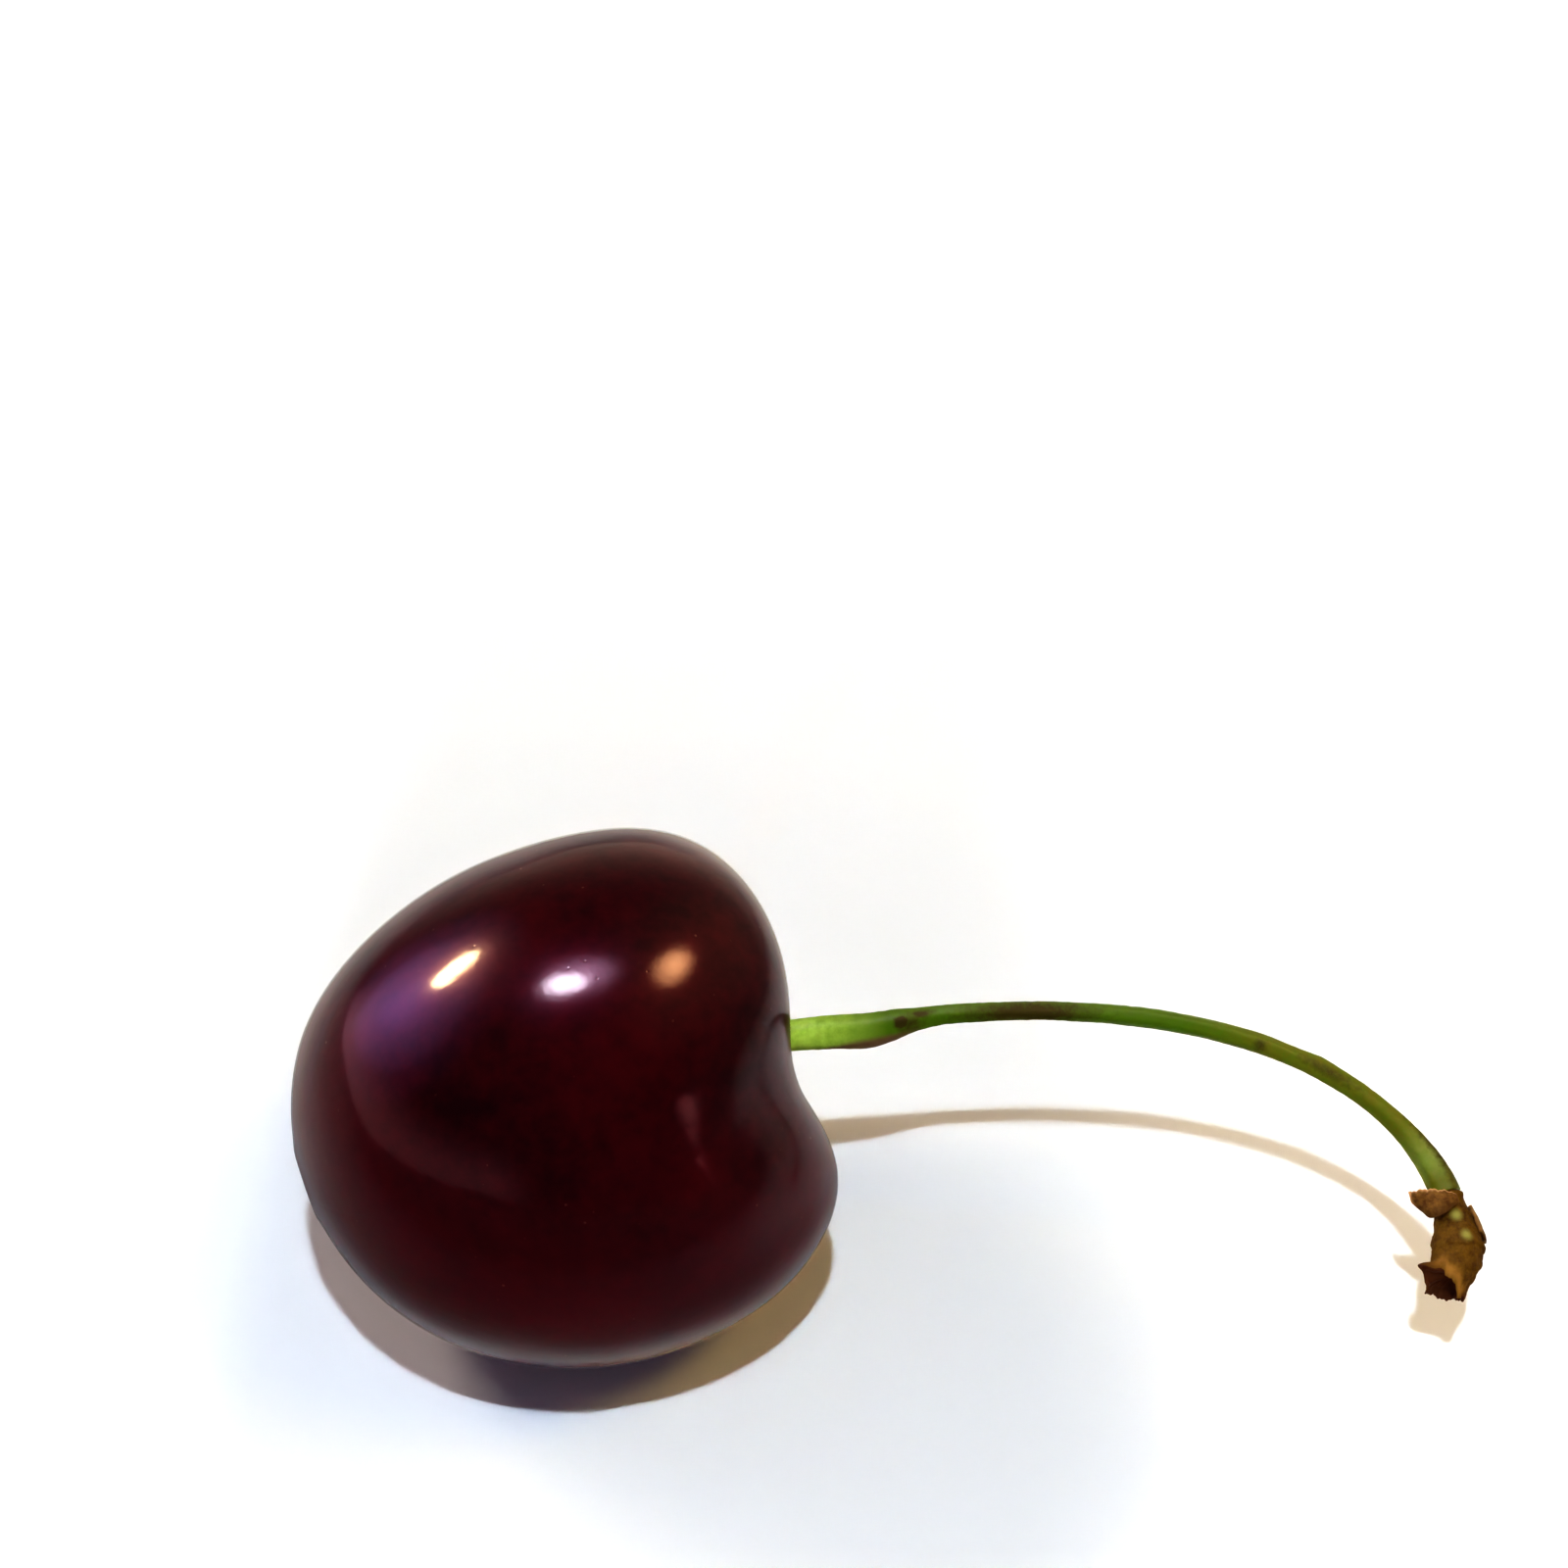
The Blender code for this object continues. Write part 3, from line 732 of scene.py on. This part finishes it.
def build_stalk(sizes):
    """The stalk: a round profile with soft ridges carried along the curve, flared at both ends.

    The first stretch out of the fruit is thicker, most of all below, where it also sags, and
    small knots stand out farther along. Masks mark the share of the run, the rubbed patches and
    the brown under that first stretch, which is partly its own brown and partly painted shade.
    """
    rows, columns = STALK_GRID
    path, heading = stalk_path(np.linspace(0.0, 1.0, rows))
    steps = np.linalg.norm(np.diff(path, axis=0), axis=1)
    run = np.concatenate([[0.0], np.cumsum(steps)])[:, None]
    total = run[-1, 0]
    side = unit(np.cross(heading, [0.0, 0.0, 1.0]))
    up = np.cross(side, heading)
    around = ring(columns)
    radius = np.full((rows, columns), sizes.radius / MM)
    radius += sizes.foot_flare / MM * bell(run, FOOT_REACH)
    radius += sizes.head_flare / MM * bell(total - run, HEAD_REACH)
    for place, reach, height in SWELLS:
        radius += height * bell(run - place, reach)
    twist = 0.05 * run
    ridge = np.cos(RIDGES * (around + twist)) + 0.5 * np.cos(3.0 * around - twist + 1.0)
    radius += sizes.ridge / MM * ridge * (0.6 + 0.8 * bell(total - run, 9.0))
    radius += ripple(spread(run, 0.7 * np.cos(around), 0.7 * np.sin(around)), STALK_RIPPLES)
    radius += THICK_END * between(run, (1.5, 5.0), (7.6, 8.9))
    below = bell(wrap(around + 0.9), 1.0)
    radius += THICK_BELOW * below * between(run, (1.5, 4.0), (7.5, 10.5))
    for place, reach, angle, half, height in KNOTS:
        radius += height * bell(wrap(around - angle), half) * bell(run - place, reach)
    across = np.cos(around)[..., None] * side[:, None] + np.sin(around)[..., None] * up[:, None]
    sag = SAG * bell(run - SAG_PLACE, 2.6)
    grid = path[:, None] + radius[..., None] * across - sag[..., None] * up[:, None]
    russet = 0.8 * (1.0 - ease(run, 0.2, 0.7))
    for place, reach, angle, half, strength in RUSSET:
        spot = bell(wrap(around - math.radians(angle)), math.radians(half))
        russet = np.maximum(russet, strength * spot * bell(run - place, reach))
    # partly brown rind, partly painted shade: the lower side of the thick first stretch
    width = 1.05 + 0.45 * ease(run, 3.0, 6.0)
    brown_and_shade_below = 1.0 - ease(np.abs(wrap(around + 1.6)), width - 0.30, width + 0.15)
    masks = {"along": np.broadcast_to(run / total, (rows, columns)), "russet": russet,
             "brown_and_shade_below": 0.95 * brown_and_shade_below * between(run, (2.4, 3.8), (7.2, 9.4))}
    return tube_piece("stalk_rind", grid, masks, green_stalk(sizes), ends=path[[0, -1]])


def spur_place(local):
    """Points in the spur's own axes (right, back, up to the stalk) moved to their place."""
    up = unit(np.array(SPUR_AXIS))
    right = unit(np.array([1.0, 0.0, 0.0]) - up * up[0])
    return local @ np.array([right, np.cross(up, right), up]) + np.array(SPUR_TOP)


def spur_rim(around):
    """Length of the spur's wall: nearly level, but torn away in a slope on the front left side."""
    degrees = np.degrees(around)
    torn = between(degrees, (180.0, 203.0), (298.0, 318.0))
    torn = torn * through(degrees, TORN_ANGLES, TORN_LENGTHS)
    ragged = (0.05 * np.sin(5.0 * around + 0.8) + 0.035 * np.sin(12.0 * around)
              + 0.025 * np.sin(27.0 * around))
    return WALL + 0.10 * np.cos(around) - torn + ragged


def build_spur(sizes):
    """The spur: bark down to a torn rim, then back up inside the dark hollow.

    The radius follows a smooth profile round a bowed middle line, with ledges where scales fell
    off, two raised scars and rough bark. The wall is torn away on the front left, where one
    splinter bends outwards, and inside it a shallow hollow closes under the bark. Masks mark the
    scars, the torn wood along the front of the rim, the dark hollow and the shaded right side.
    """
    rows, columns = SPUR_GRID
    outer_rows = int(rows * SPUR_OUTSIDE)
    around = ring(columns)
    rim = spur_rim(around) * sizes.length / (SPUR_LENGTH * MM)
    depth = COLLAR + (rim - COLLAR) * np.linspace(0.0, 1.0, outer_rows)[:, None]
    centre = through(depth, SPUR_DEPTHS, SPUR_BOWS)
    radius = through(depth, SPUR_DEPTHS, SPUR_RADII)
    to_right = 0.5 + 0.5 * np.cos(around)
    for ledge, height in LEDGES:
        step = depth - ledge - 0.12 * np.sin(around * 2.0 + 3.0 * ledge)
        step -= 0.05 * np.sin(around * 7.0)
        radius += height * (0.35 + to_right) * between(step, (-0.45, 0.0), (0.0, 0.12))
    splinter = bell(wrap(around - SPLINTER_ANGLE), 0.22) * ease(depth - rim, -0.60, 0.0)
    radius += SPLINTER_BEND * splinter ** 1.4
    scars = np.zeros_like(depth)
    for across, low in STALK_SCARS:
        away = np.hypot(centre + radius * np.cos(around) - across,
                        depth - low - 0.2 * np.sin(around))
        scar = 0.85 * (1.0 - ease(away, 0.0, 0.44)) * (np.sin(around) <= 0.0)
        scars = np.maximum(scars, scar)
    bark = spread(radius * np.cos(around), radius * np.sin(around), -depth)
    closing = 1.0 - ease(depth, COLLAR - 0.06, COLLAR + 0.22)
    dome = np.sqrt(np.clip(1.0 - closing ** 2, 0.0, 1.0))
    radius = (radius + ripple(bark, BARK_RIPPLES) + SCAR_HEIGHT * scars) * dome
    outer = spread(centre + radius * np.cos(around), radius * np.sin(around), -depth)
    inside = np.linspace(0.0, 1.0, rows - outer_rows + 1)[1:, None]
    narrow = 0.10 * ease(inside, 0.0, 0.10) + 0.90 * ease(inside, 0.10, 1.04) ** 1.6
    rise = np.clip(inside * 1.15 - 0.06, 0.0, 1.0) ** 0.8
    inner = outer[-1] + (np.array(HOLLOW_FLOOR) - outer[-1]) * spread(narrow, narrow, rise)
    inner = inner + (ripple(inner, HOLLOW_RIPPLES) * ease(inside, 0.05, 0.2))[..., None]
    front = between(np.degrees(around), (206.0, 222.0), (304.0, 330.0))
    fresh = bell(depth - rim + 0.37, 0.34) * front * (0.78 + 0.12 * np.sin(9.0 * around))
    # darker towards the rim, away from the torn front
    dark_rim = ease(depth - rim, -0.25, 0.0) * (1.0 - front)
    none = np.zeros((rows - outer_rows, columns))
    masks = {"scar": (scars, none),
             "wood": (np.clip(fresh, 0.0, 1.0), (1.0 - ease(inside, 0.0, 0.05)) * front),
             "hollow": (np.maximum(0.8 * dark_rim, 0.65 * splinter),
                        np.maximum(ease(inside, 0.0, 0.06), 0.8 * (1.0 - front))),
             # painted shade: the spur's right side is darkened
             "shade": (0.75 * bell(wrap(around - 0.1), 0.7) * ease(depth, 0.4, 1.4), none)}
    masks = {label: np.concatenate(halves) for label, halves in masks.items()}
    return tube_piece("spur_bark", spur_place(np.concatenate([outer, inner])), masks,
                      spur_bark(sizes))


def build_scale(name, start, sweep, belly, paler, seed, rows, sizes):
    """A bud scale: a curved sheet clasping the spur, its height and reach given along its sweep.

    The sheet bellies out a little between its edges, its upper edge stands off the bark and is
    ragged, and faint veins run along it.
    """
    steps, columns = SCALE_GRID
    share = np.linspace(0.0, 1.0, steps)[:, None]
    fall = np.linspace(0.0, 1.0, columns)[None, :]
    knots, tops, drops, stands = np.array(rows).T
    angle = np.radians(start + sweep * share)
    drop = through(share, knots, drops) + 0.03 * np.sin(share * 23.0 + seed)
    ragged = 0.030 * np.sin(share * 31.0 + seed) + 0.022 * np.sin(share * 71.0)
    height = through(share, knots, tops) + ragged * (1.0 - fall) - drop * fall
    depth = np.clip(-height, -0.5, 5.0)
    stand = through(share, knots, stands) * (1.0 - 0.25 * fall ** 2)
    radius = through(depth, SPUR_DEPTHS, SPUR_RADII) + stand + SCALE_GAP
    radius += belly * np.sin(math.pi * fall)
    centre = through(depth, SPUR_DEPTHS, SPUR_BOWS)
    local = spread(centre + radius * np.cos(angle), radius * np.sin(angle), height)
    local = local + 0.022 * waves(local, 0.55, seed)[..., None]
    index = np.arange(steps * columns).reshape(steps, columns)
    quads = np.stack([index[:-1, 1:], index[1:, 1:], index[1:, :-1], index[:-1, :-1]], axis=-1)
    veins = np.sin(fall * 26.0 + 1.2 * np.sin(share * 5.0) + 0.6 * np.sin(share * 17.0))
    edge = np.maximum(1.0 - ease(fall, 0.0, 0.12), 1.0 - ease(share, 0.0, 0.10))
    # edge: a pale margin with a painted highlight; shade: painted shade on the lower part
    masks = {"vein": 0.22 * np.clip(veins, 0.0, 1.0), "edge": paler * edge,
             "shade": 0.7 * ease(fall, 0.45, 1.0) * ease(share, 0.0, 0.25)}
    piece = mesh_piece(name + "_husk", spur_place(local).reshape(-1, 3),
                       quads.reshape(-1, 4).tolist(), masks, dry_husk(sizes))
    wall = piece.modifiers.new("wall", "SOLIDIFY")
    wall.thickness = sizes.scale_wall
    wall.offset = 1.0
    return piece


# ---- stage ----

def direction(azimuth, elevation):
    """A unit vector; azimuth 0 is towards the camera side (-Y), 90 is +X, in degrees."""
    a, e = math.radians(azimuth), math.radians(elevation)
    return Vector((math.sin(a) * math.cos(e), -math.cos(a) * math.cos(e), math.sin(e)))


def add_lamp(name, kind, energy, tone, gloss=True, diffuse=True, **settings):
    """A lamp with its strength and colour; gloss and diffuse say what it lights."""
    data = bpy.data.lights.new(name, kind)
    data.energy = energy
    data.color = linear(tone)[:3]
    for label, value in settings.items():
        setattr(data, label, value)
    lamp = new_object(name, data)
    lamp.visible_glossy = gloss
    lamp.visible_diffuse = diffuse
    return lamp


def soft_box(name, first, second, width, energy, tone, **flags):
    """A rectangular lamp seen from the fruit between two directions (azimuth, elevation).

    Its long side runs from the first direction to the second, and width is its short side as a
    share of its distance.
    """
    a, b = direction(*first), direction(*second)
    middle = (a + b).normalized()
    along = (b - a).normalized()
    across = middle.cross(along).normalized()
    lamp = add_lamp(name, "AREA", energy, tone, shape="RECTANGLE",
                    size=(b - a).length * LAMP_DISTANCE, size_y=width * LAMP_DISTANCE, **flags)
    turn = Matrix((along, across, along.cross(across))).transposed()
    place = Matrix.Translation(middle * LAMP_DISTANCE + Vector(LAMP_AIM))
    lamp.matrix_world = place @ turn.to_4x4()
    return lamp


def soften(lamp, core, round_ends):
    """Let a lamp glow fully out to core of its half width and fade to its edge.

    The glow is an ellipse, or with round_ends a bar whose two ends are half circles.
    """
    tree = empty_tree(lamp.data)
    aspect = lamp.data.size / lamp.data.size_y if round_ends else 1.0
    spot = add(tree, "NewGeometry", output="Parametric")
    for operation, value in (("SUBTRACT", (0.5, 0.5, 0.0)), ("ABSOLUTE", (0.0, 0.0, 0.0)),
                             ("MULTIPLY", (aspect, 1.0, 0.0)),
                             ("SUBTRACT", (0.5 * aspect - 0.5, 0.0, 0.0)),
                             ("MAXIMUM", (0.0, 0.0, 0.0))):
        spot = add(tree, "VectorMath", {0: spot, 1: value}, operation=operation)
    radius = add(tree, "VectorMath", {0: spot}, "Value", operation="LENGTH")
    glow = add(tree, "MapRange", {"Value": radius, "From Min": 0.5, "From Max": 0.5 * core},
               interpolation_type="SMOOTHSTEP")
    shader = add(tree, "Emission", {"Strength": glow})
    add(tree, "OutputLight", {"Surface": shader})


def build_lights(sizes):
    """The near main lamp, two fills, and the lamps that only the glossy skin mirrors."""
    key = add_lamp("key", "POINT", sizes.key, "#DCEDFF", gloss=False, shadow_soft_size=4.0 * MM)
    key.location = KEY_PLACE
    soft_box("left_lamp", (-103.0, 41.0), (-127.0, 44.0), 0.15, 0.98 * sizes.fill, "#FFF2E2",
             gloss=False)
    soft_box("right_lamp", (65.0, 52.0), (91.0, 52.0), 0.22, 0.74 * sizes.fill, "#FFDD7F",
             gloss=False)
    for name, (*shape, core, round_ends) in SHINES.items():
        soften(soft_box(name, *shape, diffuse=False), core, round_ends)


def build_world():
    """A dim room: the gloss sees its window and walls, and the camera plain white.

    The matte surfaces get one soft light from it, violet grey, and dimmer from behind.
    """
    world = bpy.data.worlds.new("room")
    bpy.context.scene.world = world
    tree = empty_tree(world)
    place = add(tree, "TexCoord", output="Generated")
    height = add(tree, "SeparateXYZ", {"Vector": place}, "Z")
    glossy = add(tree, "LightPath", output="Is Glossy Ray")
    room = linear("#3C3537")[:3]
    for aim, fade, rise in GLOWS:
        facing = add(tree, "VectorMath", {0: place, 1: direction(*aim)}, "Value",
                     operation="DOT_PRODUCT")
        glow, level = [add(tree, "ValToRGB", {"Fac": value},
                           stops=[(stop, linear(shade)) for stop, shade in stops])
                       for value, stops in ((facing, fade), (height, rise))]
        glow = add(tree, "VectorMath", {0: glow, 1: level}, operation="MULTIPLY")
        room = add(tree, "VectorMath", {0: glow, 1: (GLOW_GAIN,) * 3, 2: room},
                   operation="MULTIPLY_ADD")
    behind = add(tree, "MapRange", {"Value": height.node.outputs["Y"],
                                    "From Min": -0.5, "From Max": 0.5})
    soft = add(tree, "Mix", {0: behind, 6: linear("#726D7C"), 7: linear("#242226")}, **COLOUR_MIX)
    room = add(tree, "Mix", {0: glossy, 6: soft, 7: room}, **COLOUR_MIX)
    room = add(tree, "Mix", {0: glossy.node.outputs["Is Camera Ray"], 6: room,
                             7: grey(1.0)}, **COLOUR_MIX)
    shader = add(tree, "Background", {"Color": room})
    add(tree, "OutputWorld", {"Surface": shader})


def build_table(sizes):
    """A flat white square with its middle under the fruit."""
    half = sizes.table_size / 2.0
    mesh = bpy.data.meshes.new("table")
    corners = [(-half, -half, 0.0), (half, -half, 0.0), (half, half, 0.0), (-half, half, 0.0)]
    mesh.from_pydata(corners, [], [(0, 1, 2, 3)])
    mesh.materials.append(white_table())
    table = new_object("table", mesh)
    return table


def build_camera(sizes):
    """The camera looks along +Y and down, with the fruit in the lower left of its view."""
    data = bpy.data.cameras.new("camera")
    data.lens = sizes.focal
    data.sensor_width = SENSOR_WIDTH
    data.clip_start = 5.0 * MM
    camera = new_object("camera", data)
    camera.location = CAMERA_PLACE
    camera.rotation_euler = (math.pi / 2.0 - sizes.pitch, 0.0, 0.0)
    bpy.context.scene.camera = camera
    return camera


# ---- operators, panel and registration ----

class CHERRY_OT_fruit(Operator):
    """Build the fruit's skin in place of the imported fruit"""

    bl_idname = "cherry.fruit"
    bl_label = "Build fruit"

    def execute(self, context):
        """Make the skin and hide the imported fruit."""
        piece = build_fruit(context.scene.cherry_fruit)
        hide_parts("fruit")
        return {"FINISHED"}


class CHERRY_OT_stalk(Operator):
    """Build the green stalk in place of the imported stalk"""

    bl_idname = "cherry.stalk"
    bl_label = "Build stalk"

    def execute(self, context):
        """Make the rind and hide the imported stalk."""
        piece = build_stalk(context.scene.cherry_stalk)
        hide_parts("stalk")
        return {"FINISHED"}


class CHERRY_OT_spur(Operator):
    """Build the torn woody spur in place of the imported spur"""

    bl_idname = "cherry.spur"
    bl_label = "Build spur"

    def execute(self, context):
        """Make the bark and hide the imported spur."""
        piece = build_spur(context.scene.cherry_spur)
        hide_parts("spur")
        return {"FINISHED"}


class CHERRY_OT_bud_scales(Operator):
    """Build the dry bud scales that clasp the spur"""

    bl_idname = "cherry.bud_scales"
    bl_label = "Build bud scales"

    def execute(self, context):
        """Make each scale and hide its imported part."""
        for name, shape in SCALES.items():
            piece = build_scale(name, sizes=context.scene.cherry_spur, **shape)
            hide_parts(name)
        return {"FINISHED"}


class CHERRY_OT_stage(Operator):
    """Set up the white table, the lights and the camera"""

    bl_idname = "cherry.stage"
    bl_label = "Set up stage"

    def execute(self, context):
        """Make the table, lamps, room and camera."""
        sizes = context.scene.cherry_stage
        build_table(sizes)
        build_lights(sizes)
        build_world()
        build_camera(sizes)
        context.scene.view_settings.view_transform = "Standard"
        context.scene.view_settings.look = "High Contrast"
        return {"FINISHED"}


OPERATORS = (CHERRY_OT_fruit, CHERRY_OT_stalk, CHERRY_OT_spur, CHERRY_OT_bud_scales,
             CHERRY_OT_stage)
SETTINGS = {"cherry_fruit": CherryFruitSettings, "cherry_stalk": CherryStalkSettings,
            "cherry_spur": CherrySpurSettings, "cherry_stage": CherryStageSettings}


class CHERRY_PT_panel(Panel):
    """Lists the cherry's settings and build steps"""

    bl_idname = "CHERRY_PT_panel"
    bl_label = "Sweet cherry"
    bl_space_type = "VIEW_3D"
    bl_region_type = "UI"
    bl_category = "Cherry"

    def draw(self, context):
        """Draw each group of settings, then a button for each operator."""
        for label in SETTINGS:
            group = getattr(context.scene, label)
            box = self.layout.box()
            for name in group.__annotations__:
                box.prop(group, name)
        for operator in OPERATORS:
            self.layout.operator(operator.bl_idname)


CLASSES = (*SETTINGS.values(), *OPERATORS, CHERRY_PT_panel)


def register():
    """Register every class and attach the settings to the scene."""
    for entry in CLASSES:
        bpy.utils.register_class(entry)
    for label, group in SETTINGS.items():
        setattr(bpy.types.Scene, label, PointerProperty(type=group))


def unregister():
    """Undo register, in reverse."""
    for label in SETTINGS:
        delattr(bpy.types.Scene, label)
    for entry in reversed(CLASSES):
        bpy.utils.unregister_class(entry)


def main():
    """Build every piece."""
    register()
    bpy.ops.cherry.stage()
    bpy.ops.cherry.fruit()
    bpy.ops.cherry.stalk()
    bpy.ops.cherry.spur()
    bpy.ops.cherry.bud_scales()


if __name__ == "__main__":
    main()
